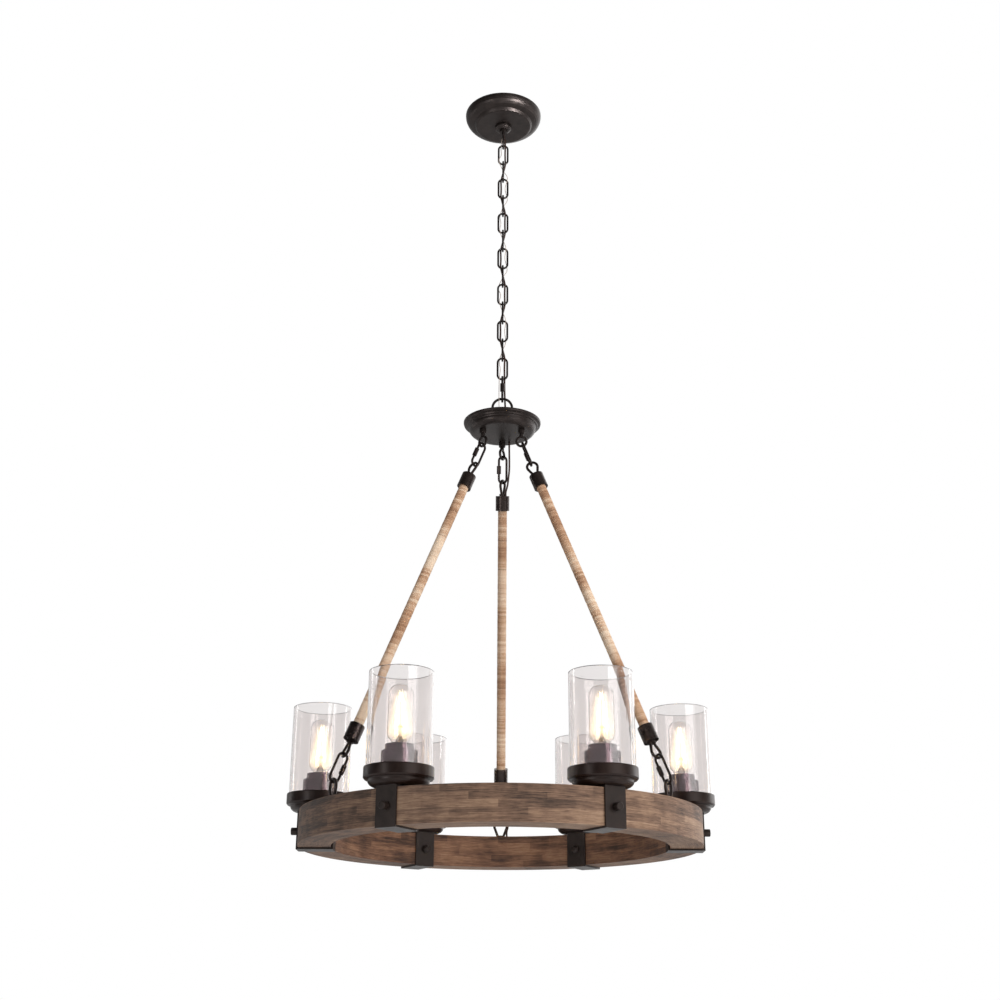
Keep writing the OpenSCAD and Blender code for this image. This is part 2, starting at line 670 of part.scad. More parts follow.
// Wire ring in the groove, with one thinner branch bent up into each lamp's stem
module wheel_wiring() color(BROWN) {
    branch_d = lead_d - 0.8;
    bend = 4;
    rotate([0, 0, 7]) translate([0, 0, wire_z]) rotate_extrude($fn = 96)
        translate([groove_r, 0]) circle(d = lead_d);
    for (k = [0:LAMPS - 1]) at_azimuth(lamp_azimuth(k), 0, wire_z) {
        translate([0, -groove_r, 0]) facing_out() cylinder(d = branch_d, h = lamp_r - bend - groove_r);
        translate([0, bend - lamp_r, bend]) rotate([-90, 0, 0]) rotate([0, 90, 0])
            rotate_extrude(angle = 90) translate([bend, 0]) circle(d = branch_d);
        translate([0, -lamp_r, bend]) cylinder(d = branch_d, h = stem_bottom_z + 6 - wire_z - bend);
    }
}

// ---- Glasses, rings and bulbs ----

// Clear seeded cylinder, open above, with a hole in its floor that drops over the socket
module glass(k) color(GLASS) at_azimuth(lamp_azimuth(k), lamp_r, glass_z) {
    r = glass_d / 2;
    hole = socket_d / 2 + 0.8;
    rotate_extrude()
        polygon([[hole, 0], [r - 2, 0], [r - 0.6, 0.6], [r, 2], [r, glass_h - 0.8], [r - 0.8, glass_h],
                 [r - glass_t + 0.8, glass_h], [r - glass_t, glass_h - 0.8],
                 [r - glass_t, glass_t + 1], [r - glass_t - 1, glass_t], [hole, glass_t]]);
}

// Ring that screws down the socket and clamps the glass on the pan's shelf
module shade_ring(k) color(BRONZE) at_azimuth(lamp_azimuth(k), lamp_r, shade_ring_z) {
    r = shade_ring_d / 2;
    bore = socket_d / 2 + play;
    rotate_extrude()
        polygon([[bore, 0], [r, 0], [r, shade_ring_h - 1.5], [r - 0.5, shade_ring_h - 0.4],
                 [r - 1.5, shade_ring_h], [bore, shade_ring_h]]);
}

// Tubular filament bulb: glass envelope, screw cap, and the glass foot with four filaments
bulb_r = bulb_d / 2;
bulb_neck_r = cap_d / 2 - 1.5;
bulb_dome = 15;
function bulb_line(o) = concat(
    [[bulb_neck_r - o, 0.5], [bulb_neck_r + 1 - o, 3], [bulb_r - 4 - o, 7.5],
     [bulb_r - 1.3 - o, 11], [bulb_r - o, 16]],
    [for (a = [0:15:75])
     [bulb_r - bulb_dome + (bulb_dome - o) * cos(a), bulb_h - bulb_dome + (bulb_dome - o) * sin(a)]],
    [[bulb_r - bulb_dome, bulb_h - o], [0, bulb_h - o]]);
module bulb(k) color([1, 0.93, 0.78, 0.6]) at_azimuth(lamp_azimuth(k), lamp_r, socket_top_z) {
    outer = bulb_line(0);
    inner = bulb_line(bulb_wall);
    plug_r = bulb_neck_r - bulb_wall - 0.5;
    rotate_extrude() polygon(concat(outer, [for (i = [len(inner) - 1:-1:0]) inner[i]]));
    translate([0, 0, -cap_h]) rotate_extrude()
        polygon([[0, 0], [5, 0], [5, 1.5], [cap_d / 2 - 2, 3], [cap_d / 2, 5], [cap_d / 2, cap_h - 1],
                 [plug_r, cap_h], [plug_r, cap_h + 0.3], [0, cap_h + 0.3]]);
    translate([0, 0, 0.6]) rotate_extrude() polygon([[0, 0], [8, 0], [5, 9], [2.5, 14], [2, 30], [0, 30]]);
    for (a = [45:90:315]) rotate([0, 0, a]) {
        translate([5.5, 0, 30]) cylinder(d = 2, h = 42);
        translate([1, -0.4, 29.6]) cube([4.5, 0.8, 0.8]);
    }
}

// ---- Leads ----

// Brown lead: down the neck, once through every chain link, through the hub cover. The square-ish
// spiral passes each link's middle at lead_face and each crossing of two links at lead_corner
lead_face = 3.95;
lead_corner = 4.4;
function weave(turn, face, corner) =
    let (q = turn - floor(turn), side = q < 0.5 ? q * 2 : (1 - q) * 2,
         near = face + (corner - face) * side, off = corner * min(1, side * 1.15),
         p = q < 0.5 ? [near, off] : [off, near], a = 90 * floor(turn))
    [p[0] * cos(a) - p[1] * sin(a), p[0] * sin(a) + p[1] * cos(a)];
function link_mid_z(i) = pivot_z(i) + link_wire + play - link_e / 2;
function woven(face, corner, steps, z_from, z_to) =
    [for (j = [0:(LINKS - 1) * steps])
     let (t = j / steps, p = weave(t, face, corner)) [p[0], p[1], link_mid_z(1) - t * pitch]];
lead_route = concat(
    [[0, 0, -canopy_h - 2], [0, 0, -canopy_h - 14], [1, 1, -canopy_h - 20], [3.6, -2.8, loop_bar_z + 14],
     [4.2, -4.4, loop_bar_z + 2], [4.1, -3.4, loop_bar_z - 9]],
    woven(lead_face, lead_corner, 4),
    [[4.2, 3.2, pivot_z(LINKS) - 33], [4.4, 4.6, pivot_z(LINKS + 1)],
     [4.4, 4.8, hub_link_top_z - 12], [4.6, 5.5, hub_link_top_z - 30], [5.4, 7.4, hub_pivot_z],
     [6.4, 9.2, hub_pivot_z - 20], [7, 10, hub_top_z + 10], [7, 10, hub_top_z - 9]]);

// Thin earth wire, looser, a half turn away
earth_corner = 9.5;
function earth_point(t) =
    let (p = weave(t + 2, 4.2, 6), bow = 1 + 0.5 * pow(sin(180 * t), 2) * (sin(63 * t) > 0.2 ? 1 : 0.1))
    [p[0] * bow, p[1] * bow, link_mid_z(1) - t * pitch];
earth_route = concat(
    [[-1.2, 1.2, -canopy_h - 22], [-4, 3, loop_bar_z + 12], [-4.6, 4.4, loop_bar_z]],
    [for (j = [0:(LINKS - 1) * 2]) earth_point(j / 2)],
    [[-6, -6, pivot_z(LINKS + 1)], [-6.5, -6.5, hub_link_top_z - 26], [-6.5, -6, hub_pivot_z - 2],
     [-6, -3, hub_pivot_z - 16], [-3, 5, hub_pivot_z - 27], [1.6, 10, hub_top_z + 8],
     [2.6, 11.6, hub_top_z + 1]]);

// Second lead, in rod 3's frame: out of the hub, into the upper ferrule, down the tube,
// out of the lower ferrule and into the groove in the wood
function rod_point(p) =
    let (s = rod_skew(2), t = rod_tilt(2), a = ROD_AZIMUTHS[2],
         x = p[0] * cos(s) + p[2] * sin(s), h = p[2] * cos(s) - p[0] * sin(s),
         l = rod_top(2) + [x, p[1] * cos(t) + h * sin(t), h * cos(t) - p[1] * sin(t)])
    [l[0] * cos(a) - l[1] * sin(a), l[0] * sin(a) + l[1] * cos(a), l[2]];
side = wire_side * cos(45);
down_z = ferrule_top_z - cap_wall;
up_z = ferrule_end_z + cap_wall;
function at_rod_azimuth(p) =
    let (a = ROD_AZIMUTHS[2])
    [p[0] * cos(a) - p[1] * sin(a), p[0] * sin(a) + p[1] * cos(a), p[2]];
drop_lead_route = concat(
    [at_rod_azimuth([hub_hole[0], hub_hole[1], hub_bottom_z + 8]),
     at_rod_azimuth([hub_hole[0], hub_hole[1], hub_bottom_z - 6])],
    [for (p = [[-13, 8, upper_eye_z + 36], [-11.5, 8.5, upper_eye_z + 16], [-9.5, 8.5, upper_eye_z],
               [-side, side, ferrule_top_z + 8], [-side, side, ferrule_top_z],
               [-side, side, down_z - 0.6], [-1, 1, down_z - 10.6], [0, 0, down_z - 17],
               [0, 0, -rod_len / 2], [0, 0, up_z + 17], [-1, -1, up_z + 10.6],
               [-side, -side, up_z + 0.6], [-side, -side, ferrule_end_z],
               [-side, -side, ferrule_end_z - 8], [-9, -9, lower_eye_z + 2],
               [-9, -6, lower_eye_z - 16]]) rod_point(p)],
    [for (p = [[-14, -groove_r - 2, wheel_top_z + 24], [-12, -groove_r, wheel_top_z + 10],
               [-12, -groove_r + 0.2, wheel_top_z], [-12, -groove_r + 0.2, wire_z + lead_d + play]])
     at_rod_azimuth(p)]);

module lead_wire() color(BROWN) {
    cord(lead_route, lead_d, 8);
    cord(earth_route, earth_d, 6);
    cord(drop_lead_route, lead_d, 8);
}

crossbar();
crossbar_fasteners();
nipple_and_nuts();
canopy();
canopy_loop();
loop_collar();
chain_link(1);  // chain_link_01
chain_link(2);  // chain_link_02
chain_link(3);  // chain_link_03
chain_link(4);  // chain_link_04
chain_link(5);  // chain_link_05
chain_link(6);  // chain_link_06
chain_link(7);  // chain_link_07
chain_link(8);  // chain_link_08
chain_link(9);  // chain_link_09
chain_link(10);  // chain_link_10
chain_link(11);  // chain_link_11
chain_link(12);  // chain_link_12
chain_link(13);  // chain_link_13
hub_link();
hub_loop();
hub_cover();
hub_bowl();
hub_eyes();
rope_wrap(0);  // rope_wrap_1
rope_wrap(1);  // rope_wrap_2
rope_wrap(2);  // rope_wrap_3
rod(0);  // rod_1
rod(1);  // rod_2
rod(2);  // rod_3
rod_links(0);  // rod_links_1
rod_links(1);  // rod_links_2
rod_links(2);  // rod_links_3
wheel_felloes();
straps();
strap_bolts();
cap_nuts();
ring_eyes();
pans();
sockets();
wheel_wiring();
glass(0);  // glass_1
glass(1);  // glass_2
glass(2);  // glass_3
glass(3);  // glass_4
glass(4);  // glass_5
glass(5);  // glass_6
shade_ring(0);  // shade_ring_1
shade_ring(1);  // shade_ring_2
shade_ring(2);  // shade_ring_3
shade_ring(3);  // shade_ring_4
shade_ring(4);  // shade_ring_5
shade_ring(5);  // shade_ring_6
bulb(0);  // bulb_1
bulb(1);  // bulb_2
bulb(2);  // bulb_3
bulb(3);  // bulb_4
bulb(4);  // bulb_5
bulb(5);  // bulb_6
lead_wire();
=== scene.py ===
"""Looks of the wagon wheel chandelier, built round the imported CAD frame.

Metres, the frame of the CAD part: the ceiling is at z = 0, the chandelier hangs down the z axis.
Azimuths are measured from the front (-Y), positive towards +X.
"""

import json
import math

import bpy
import numpy as np
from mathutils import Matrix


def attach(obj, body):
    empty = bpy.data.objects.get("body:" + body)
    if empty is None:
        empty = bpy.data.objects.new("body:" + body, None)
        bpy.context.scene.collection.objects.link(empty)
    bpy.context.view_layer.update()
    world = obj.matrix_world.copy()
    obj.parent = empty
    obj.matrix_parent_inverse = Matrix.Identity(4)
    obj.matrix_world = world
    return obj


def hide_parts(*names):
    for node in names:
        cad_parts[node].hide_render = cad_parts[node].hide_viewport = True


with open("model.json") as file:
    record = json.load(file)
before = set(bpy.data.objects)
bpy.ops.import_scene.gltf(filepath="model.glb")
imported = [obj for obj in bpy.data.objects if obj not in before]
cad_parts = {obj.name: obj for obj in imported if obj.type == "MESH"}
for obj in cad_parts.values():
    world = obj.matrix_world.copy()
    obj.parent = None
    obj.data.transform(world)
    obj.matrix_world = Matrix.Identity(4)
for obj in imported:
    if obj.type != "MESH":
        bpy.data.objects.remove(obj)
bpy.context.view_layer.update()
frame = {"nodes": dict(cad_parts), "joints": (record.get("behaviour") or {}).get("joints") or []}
nodes = frame["nodes"]

# ---- Dark bronze paint ------------------------------------------------------------------------
# Every metal piece is steel sprayed a matt brown-black, sold as oil-rubbed bronze. The spray
# leaves a fine orange peel and here and there a rubbed, slightly browner patch.


def srgb(text, alpha=1.0):
    """A colour such as "7a5c48" as linear red, green, blue and alpha."""
    parts = [int(text[i : i + 2], 16) / 255 for i in (0, 2, 4)]
    linear = [c / 12.92 if c <= 0.04045 else ((c + 0.055) / 1.055) ** 2.4 for c in parts]
    return (*linear, alpha)


def add(tree, kind, settings=None, **inputs):
    """Adds a node. Settings are its own properties; inputs are named sockets, or s0, s1 by place."""
    made = tree.nodes.new(kind)
    for name, value in (settings or {}).items():
        setattr(made, name, value)
    for name, value in inputs.items():
        place = name[1:]
        socket = made.inputs[int(place)] if place.isdigit() else made.inputs[name.replace("_", " ")]
        if isinstance(value, bpy.types.NodeSocket):
            tree.links.new(value, socket)
        else:
            socket.default_value = value
    return made


def material(name):
    """A new material with an empty tree but for its output. Returns (material, tree, output)."""
    made = bpy.data.materials.new(name)
    made.use_nodes = True
    tree = made.node_tree
    tree.nodes.clear()
    return made, tree, tree.nodes.new("ShaderNodeOutputMaterial")


def ramp(tree, value, stops):
    """A colour ramp from (position, hex colour) stops."""
    made = add(tree, "ShaderNodeValToRGB", Fac=value)
    points = made.color_ramp.elements
    while len(points) < len(stops):
        points.new(0.5)
    for point, (place, colour) in zip(points, stops):
        point.position = place
        point.color = srgb(colour)
    return made.outputs["Color"]


def paint(name, dark, light, roughness, peel=0.12, metallic=0.35, rubbed=0.06):
    """Sprayed metal: two close browns in patches of about 18 mm, under an orange peel of about 1 mm.

    The patches also vary the roughness by plus and minus rubbed.
    """
    made, tree, output = material(name)
    place = add(tree, "ShaderNodeTexCoord").outputs["Object"]
    patches = add(tree, "ShaderNodeTexNoise", Vector=place, Scale=55.0, Detail=4.0, Roughness=0.6)
    grains = add(tree, "ShaderNodeTexNoise", Vector=place, Scale=900.0, Detail=2.0)
    colour = ramp(tree, patches.outputs["Fac"], [(0.3, dark), (0.75, light)])
    rough = add(tree, "ShaderNodeMapRange", s0=patches.outputs["Fac"], s1=0.3, s2=0.7,
                s3=roughness - rubbed, s4=roughness + rubbed)
    bump = add(tree, "ShaderNodeBump", Height=grains.outputs["Fac"], Strength=peel, Distance=0.0003)
    shader = add(tree, "ShaderNodeBsdfPrincipled", Base_Color=colour, Metallic=metallic,
                 Roughness=rough.outputs[0], Normal=bump.outputs["Normal"])
    tree.links.new(shader.outputs["BSDF"], output.inputs["Surface"])
    return made


def dress(names, finish):
    """Gives CAD nodes their material."""
    for name in names:
        nodes[name].data.materials.clear()
        nodes[name].data.materials.append(finish)


bronze = paint("dark_bronze_paint", "2a2321", "3d3431", 0.38, peel=0.02, metallic=0.6, rubbed=0.01)
dress(["canopy", "loop_collar", "canopy_loop"], bronze)
dress(["hub_loop", "hub_cover", "hub_bowl", "hub_eyes"], bronze)

# ---- Crossbar, nipple and earth screw ---------------------------------------------------------
# Inside the canopy: a zinc-plated stamped bar, a brass-plated threaded tube with its nuts, and
# the green-dyed earth screw. They show only from above or through the canopy's open top.


def plain_metal(name, colour, roughness):
    """Plated metal of one colour, its shine faintly clouded in patches of about 8 mm."""
    made, tree, output = material(name)
    place = add(tree, "ShaderNodeTexCoord").outputs["Object"]
    cloud = add(tree, "ShaderNodeTexNoise", Vector=place, Scale=120.0, Detail=3.0)
    rough = add(tree, "ShaderNodeMapRange", s0=cloud.outputs["Fac"], s3=roughness - 0.08,
                s4=roughness + 0.08)
    shader = add(tree, "ShaderNodeBsdfPrincipled", Base_Color=srgb(colour), Metallic=1.0,
                 Roughness=rough.outputs[0])
    tree.links.new(shader.outputs["BSDF"], output.inputs["Surface"])
    return made


dress(["crossbar"], plain_metal("zinc_plating", "a9abae", 0.35))
dress(["nipple_and_nuts"], plain_metal("brass_plating", "b89a4e", 0.3))
dress(["crossbar_fasteners"], plain_metal("green_dyed_screw", "2f6b3c", 0.4))

# ---- Chain and quick link ---------------------------------------------------------------------
# Thirteen long welded links of 4 mm wire and a quick link, painted after welding, a shade darker
# than the pressings.

LINKS = range(1, 14)
chain_paint = paint("chain_paint", "221d1c", "3a312e", 0.3, peel=0.06, metallic=0.6)
dress([f"chain_link_{i:02d}" for i in LINKS] + ["hub_link"], chain_paint)

# ---- Leads ------------------------------------------------------------------------------------
# A brown two-core lead goes down through every link with a thin pale earth wire beside it. A
# second length comes out of the hub, enters the back rod's ferrule and comes out again above
# the wood. They go with the chain, so each is cut where links cross and rides on it in lengths.

LEAD_R = 0.0018
EARTH_R = 0.0007
pivot_z = {joint["name"]: joint["pos_m"][2] for joint in frame["joints"] if "pos_m" in joint}
TOP_PIVOT = pivot_z["link_01_swing"]
SECOND_PIVOT = pivot_z["link_02_swing"]
HUB_PIVOT = pivot_z["hub_swing"]
PITCH = SECOND_PIVOT - pivot_z["link_03_swing"]
PIVOT_TO_MIDDLE = 0.0188  # from the bar a link hangs on down to the link's own middle


def weave(turn, face, corner):
    """Where a cord passes beside the chain: a rounded square, one quarter turn a link.

    turn counts quarter turns. At whole turns the point is face out from the middle of a link's
    side; half way it is at a corner, where two links cross.
    """
    part = turn - math.floor(turn)
    side = 2 * min(part, 1 - part)
    near = face + (corner - face) * side
    off = corner * min(1, 1.15 * side)
    x, y = (near, off) if part < 0.5 else (off, near)
    a = math.radians(90 * math.floor(turn))
    return x * math.cos(a) - y * math.sin(a), x * math.sin(a) + y * math.cos(a)


def mid_link(i):
    """Height of the middle of chain link i."""
    pivot = TOP_PIVOT if i < 2 else SECOND_PIVOT - (i - 2) * PITCH
    return pivot - PIVOT_TO_MIDDLE


def smooth(points, times):
    """Catmull-Rom curve through points: each span is cut in times parts.

    Between b and c, with a before and d after, the point at t from 0 to 1 is
    b + t/2 (c - a + t (2a - 5b + 4c - d + t (3 (b - c) + d - a))).
    """
    p = np.array(points, float)
    p = np.vstack([2 * p[0] - p[1], p, 2 * p[-1] - p[-2]])
    t = (np.arange(times) / times)[None, :, None]
    a, b, c, d = p[:-3, None], p[1:-2, None], p[2:-1, None], p[3:, None]
    spans = b + 0.5 * t * (c - a + t * (2 * a - 5 * b + 4 * c - d + t * (3 * (b - c) + d - a)))
    return np.vstack([spans.reshape(-1, 3), p[-2:-1]])


def tube(name, path, radius, sides=12):
    """A cord: rings of a circle carried along a path, square to it, with closed flat ends.

    Ring j is path[j] + radius * (cos(a) u + sin(a) w), where u and w are square to the path's
    heading and u is kept square to the Y axis, so the rings don't twist.
    """
    heading = np.gradient(path, axis=0)
    heading /= np.linalg.norm(heading, axis=1)[:, None]
    u = np.cross([0.0, 1.0, 0.0], heading)
    u /= np.linalg.norm(u, axis=1)[:, None]
    w = np.cross(heading, u)
    a = np.arange(sides) * 2 * math.pi / sides
    rings = path[:, None] + radius * (np.cos(a)[:, None] * u[:, None] + np.sin(a)[:, None] * w[:, None])
    index = np.arange(len(path) * sides).reshape(-1, sides)
    right = np.roll(index, -1, axis=1)
    walls = np.stack([index[:-1], right[:-1], right[1:], index[1:]], axis=2).reshape(-1, 4)
    faces = walls.tolist() + [index[0, ::-1].tolist(), index[-1].tolist()]
    mesh = bpy.data.meshes.new(name)
    mesh.from_pydata(rings.reshape(-1, 3).tolist(), [], faces)
    mesh.polygons.foreach_set("use_smooth", [True] * (len(faces) - 2) + [False] * 2)
    mesh.validate()
    made = bpy.data.objects.new(name, mesh)
    bpy.context.scene.collection.objects.link(made)
    return made


def plastic(name, colour, roughness):
    """Extruded plastic of one colour with a soft sheen."""
    made, tree, output = material(name)
    shader = add(tree, "ShaderNodeBsdfPrincipled", Base_Color=srgb(colour), Roughness=roughness)
    tree.links.new(shader.outputs["BSDF"], output.inputs["Surface"])
    return made


def millimetres(points):
    """Points given in millimetres, as points in metres."""
    return [[c / 1000 for c in p] for p in points]


brown = plastic("brown_lead_plastic", "3b231a", 0.45)
pale = plastic("earth_wire_plastic", "c9b7ac", 0.5)

lead_top = millimetres([[0, 0, -30], [0, 0, -42], [1, 1, -48], [3.6, -2.8, -66], [4.2, -4.4, -78],
                        [4.1, -3.4, -89]])
lead_woven = [(*[c / 1000 for c in weave(j / 4, 3.95, 4.4)], mid_link(1) - j / 4 * PITCH)
              for j in range(49)]
lead_bottom = millimetres([[4.2, 3.2, -615.55], [4.4, 4.6, -624.45], [4.4, 4.8, -631.9],
                           [4.6, 5.5, -649.9], [5.4, 7.4, -671.9], [6.4, 9.2, -691.9],
                           [7, 10, -707.85], [7, 10, -726.85]])


def earth_point(t):
    """The earth wire's looser path after t links: the same weave half a turn away.

    It bows out between links by 1 + share * sin^2(180 t degrees) / 2. A slower sine chooses the
    links where the share is whole, and on the others it is a tenth.
    """
    x, y = weave(t + 2, 4.2, 6)
    share = 1 if math.sin(math.radians(63 * t)) > 0.2 else 0.1
    bow = 1 + 0.5 * math.sin(math.radians(180 * t)) ** 2 * share
    return x * bow / 1000, y * bow / 1000, mid_link(1) - t * PITCH


earth_top = millimetres([[-1.2, 1.2, -50], [-4, 3, -68], [-4.6, 4.4, -80]])
earth_woven = [earth_point(j / 2) for j in range(25)]
earth_bottom = millimetres([[-6, -6, -624.45], [-6.5, -6.5, -645.9], [-6.5, -6, -673.9],
                            [-6, -3, -687.9], [-3, 5, -698.9], [1.6, 10, -709.85],
                            [2.6, 11.6, -716.85]])


def hang_beside_chain(name, points, radius, finish, sides):
    """Cuts a cord where the links cross. Each length rides on one link and laps the next a little."""
    path = smooth(points, 5)
    bodies = ["ceiling_group"] + [f"link_{i:02d}" for i in LINKS] + ["hub_quick_link", "hub"]
    cuts = [TOP_PIVOT] + [SECOND_PIVOT - i * PITCH for i in range(len(LINKS))] + [HUB_PIVOT]
    lengths = []
    for i, body in enumerate(bodies):
        top = cuts[i - 1] if i else 0.0
        bottom = cuts[i] if i < len(cuts) else -1.0
        inside = np.nonzero((path[:, 2] <= top) & (path[:, 2] > bottom))[0]
        first, last = max(inside[0] - 1, 0), min(inside[-1] + 1, len(path) - 1)
        made = tube(f"{name}_{i + 1:02d}", path[first : last + 1], radius, sides)
        made.data.materials.append(finish)
        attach(made, body)
        lengths.append(made)
    return lengths


leads = hang_beside_chain("brown_lead", lead_top + lead_woven + lead_bottom, LEAD_R, brown, 12)
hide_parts("lead_wire")
hang_beside_chain("earth_wire", earth_top + earth_woven + earth_bottom, EARTH_R, pale, 8)

# ---- Hanging rods -----------------------------------------------------------------------------
# Each rod is a steel tube with a cast ferrule and eye at each end, wound over its whole bare
# length with one layer of thin jute twine, about 1.5 mm thick, turn against turn.

HUB_EYE_Z = -0.77685
HUB_EYE_R = 0.043
RING_EYE_Z = -1.43485
RING_EYE_R = 0.319
HUB_RING_R = 0.0095  # radius of a hub eye's ring, to the middle of its wire
UPPER_TURNS = (-75, 28, -25)  # how far each upper quick link is turned about its rod, in degrees
ROD_AZIMUTHS = (-60, 60, 180)


def turned(axis, degrees):
    """The 3x3 matrix of a turn about x, y or z."""
    c, s = math.cos(math.radians(degrees)), math.sin(math.radians(degrees))
    about = {"x": [[1, 0, 0], [0, c, -s], [0, s, c]],
             "y": [[c, 0, s], [0, 1, 0], [-s, 0, c]],
             "z": [[c, -s, 0], [s, c, 0], [0, 0, 1]]}
    return np.array(about[axis])


def rod_frame(k):
    """Where rod k hangs: a 3x3 matrix with the rod's axis as third column, its top and its length.

    The top is where the upper quick link bears on the hub eye. The link has slid round the eye's
    ring until it pulls square to it, so that point is off the ring's lowest one.
    """
    mean = math.atan((RING_EYE_R - HUB_EYE_R) / (HUB_EYE_Z - RING_EYE_Z))
    w = math.radians(UPPER_TURNS[k])
    bear = math.atan(math.tan(mean) * math.cos(w))
    slide = HUB_RING_R * math.sin(bear)
    rise = HUB_RING_R * (1 - math.cos(bear))
    top = np.array([math.sin(w) * slide, -HUB_EYE_R - math.cos(w) * slide, HUB_EYE_Z + rise])
    drop = np.array([0, -RING_EYE_R, RING_EYE_Z]) - top
    tilt = math.degrees(math.atan2(-drop[1], -drop[2]))
    skew = -math.degrees(math.asin(drop[0] / np.linalg.norm(drop)))
    about = turned("z", ROD_AZIMUTHS[k])
    return about @ turned("x", -tilt) @ turned("y", skew), about @ top, float(np.linalg.norm(drop))


HOOK = 0.00515  # the two wires of a hooked pair, middle to middle
OPEN_PLAY = 0.0005  # what the opened end of each hanger keeps free
QUICK_LINK = 0.052  # between the middles of its two bends
ROD_EYE_R = 0.010
EYE_TO_FERRULE = 0.0205
FERRULE_TO_TWINE = 0.0182
rod_length = min(rod_frame(k)[2] for k in range(3))
upper_eye = 2 * HOOK - QUICK_LINK - ROD_EYE_R
lower_eye = -rod_length - HOOK - OPEN_PLAY + QUICK_LINK - HOOK + ROD_EYE_R
ferrule_top = upper_eye - EYE_TO_FERRULE
ferrule_end = lower_eye + EYE_TO_FERRULE
WRAP_TOP = ferrule_top - FERRULE_TO_TWINE
WRAP_END = ferrule_end + FERRULE_TO_TWINE
TWINE_INNER_R = 0.00805
TWINE_RIDGE = 0.00085
TWINE_OUTER_R = 0.009
TWINE_SLACK = 0.00012


def wound(name, k, turns, rows_a_turn=6, columns=40):
    """Twine on rod k: a closed sleeve whose radius follows round ridges on a spiral.

    At angle a and height z the ridge's phase is p = turns * (z - low) / (high - low) + a / 2 pi.
    The radius is the inner one plus the ridge times sqrt(1 - (2 frac(p) - 1)^2), a row of round
    cords. A product of two slow sines of p slackens or tightens turns a little.
    """
    rows = turns * rows_a_turn
    z = np.linspace(WRAP_END, WRAP_TOP, rows + 1)[:, None]
    a = (np.arange(columns) * 2 * math.pi / columns)[None]
    phase = turns * (z - WRAP_END) / (WRAP_TOP - WRAP_END) + a / (2 * math.pi)
    across = 2 * (phase - np.floor(phase)) - 1
    slack = np.sin(phase * 0.61) * np.sin(phase * 0.173 + 2 * k) * TWINE_SLACK
    r = TWINE_INNER_R + TWINE_RIDGE * np.maximum(1 - across**2, 0) ** 0.5 + slack
    r = np.minimum(r, TWINE_OUTER_R)
    local = np.stack([r * np.cos(a), r * np.sin(a), z + 0 * a], axis=2).reshape(-1, 3)
    local = np.vstack([local, [[0, 0, WRAP_END], [0, 0, WRAP_TOP]]])
    matrix, top, _ = rod_frame(k)
    points = local @ matrix.T + top
    j, c = np.meshgrid(np.arange(rows), np.arange(columns), indexing="ij")
    here, right = (j * columns + c).ravel(), (j * columns + (c + 1) % columns).ravel()
    quads = np.stack([here, right, right + columns, here + columns], axis=1)
    c = np.arange(columns)
    bottom_mid, top_mid = len(local) - 2, len(local) - 1
    last = rows * columns
    fans = np.vstack([np.stack([(c + 1) % columns, c, np.full(columns, bottom_mid)], axis=1),
                      np.stack([last + c, last + (c + 1) % columns, np.full(columns, top_mid)], axis=1)])
    mesh = bpy.data.meshes.new(name)
    mesh.vertices.add(len(points))
    mesh.vertices.foreach_set("co", points.ravel())
    mesh.loops.add(quads.size + fans.size)
    mesh.loops.foreach_set("vertex_index", np.concatenate([quads.ravel(), fans.ravel()]))
    mesh.polygons.add(len(quads) + len(fans))
    sizes = np.concatenate([np.full(len(quads), 4), np.full(len(fans), 3)])
    mesh.polygons.foreach_set("loop_start", np.concatenate([[0], np.cumsum(sizes)[:-1]]))
    mesh.polygons.foreach_set("use_smooth", np.ones(len(sizes), bool))
    turn = mesh.attributes.new("turn", "FLOAT", "POINT")
    turn.data.foreach_set("value", np.append(np.floor(phase).ravel(), [0, 0]))
    mesh.update()
    mesh.validate()
    made = bpy.data.objects.new(name, mesh)
    bpy.context.scene.collection.objects.link(made)
    return made


